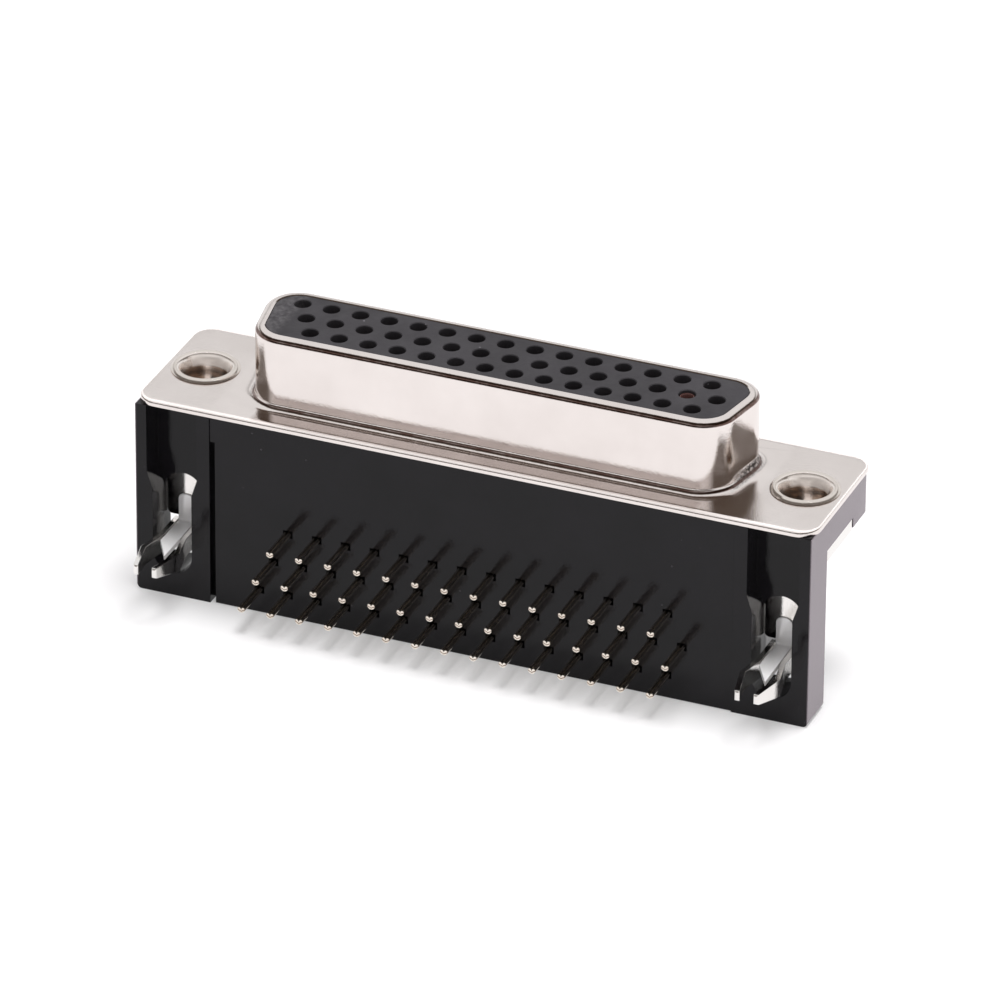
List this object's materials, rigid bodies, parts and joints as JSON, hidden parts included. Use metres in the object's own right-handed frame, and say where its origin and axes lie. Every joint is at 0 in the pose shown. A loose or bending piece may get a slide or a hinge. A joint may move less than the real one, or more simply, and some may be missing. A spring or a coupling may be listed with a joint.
{
  "type": "right-angle d-sub board connector",
  "caption": "Right-angle high-density D-sub socket for a printed board, with a metal shell, solder tails in three rows and forked board locks.",
  "frame": {"origin": "centre of the flange's mating face, midway between the two fixing holes", "axes": "+X along the flange, +Z out of the mating face, -Y towards the printed board"},
  "size_m": [0.053, 0.0176, 0.0217],
  "materials": {
    "nickel_shell": "satin nickel plating over drawn steel",
    "nickel_eyelet": "bright nickel plating",
    "face_insulator": "dark grey glass-filled thermoplastic",
    "black_moulding": "glossy black thermoplastic",
    "tinned_lock": "bright tin plating",
    "contact_alloy": "plated copper alloy"
  },
  "bodies": {
    "root": {"front_shell": "nickel_shell", "front_insulator": "face_insulator", "rear_insulator": "black_moulding", "bracket": "black_moulding", "tail_organizer": "black_moulding", "eyelet_left": "nickel_eyelet", "eyelet_right": "nickel_eyelet", "board_lock_left": "tinned_lock", "board_lock_right": "tinned_lock", "contact_a01": "contact_alloy", "contact_a02": "contact_alloy", "contact_a03": "contact_alloy", "contact_a04": "contact_alloy", "contact_a05": "contact_alloy", "contact_a06": "contact_alloy", "contact_a07": "contact_alloy", "contact_a08": "contact_alloy", "contact_a09": "contact_alloy", "contact_a10": "contact_alloy", "contact_a11": "contact_alloy", "contact_a12": "contact_alloy", "contact_a13": "contact_alloy", "contact_a14": "contact_alloy", "contact_a15": "contact_alloy", "contact_b01": "contact_alloy", "contact_b02": "contact_alloy", "contact_b03": "contact_alloy", "contact_b04": "contact_alloy", "contact_b05": "contact_alloy", "contact_b06": "contact_alloy", "contact_b07": "contact_alloy", "contact_b08": "contact_alloy", "contact_b09": "contact_alloy", "contact_b10": "contact_alloy", "contact_b11": "contact_alloy", "contact_b12": "contact_alloy", "contact_b13": "contact_alloy", "contact_b14": "contact_alloy", "contact_b15": "contact_alloy", "contact_c01": "contact_alloy", "contact_c02": "contact_alloy", "contact_c03": "contact_alloy", "contact_c04": "contact_alloy", "contact_c05": "contact_alloy", "contact_c06": "contact_alloy", "contact_c07": "contact_alloy", "contact_c08": "contact_alloy", "contact_c09": "contact_alloy", "contact_c10": "contact_alloy", "contact_c11": "contact_alloy", "contact_c12": "contact_alloy", "contact_c13": "contact_alloy", "contact_c14": "contact_alloy"}
  },
  "joints": []
}
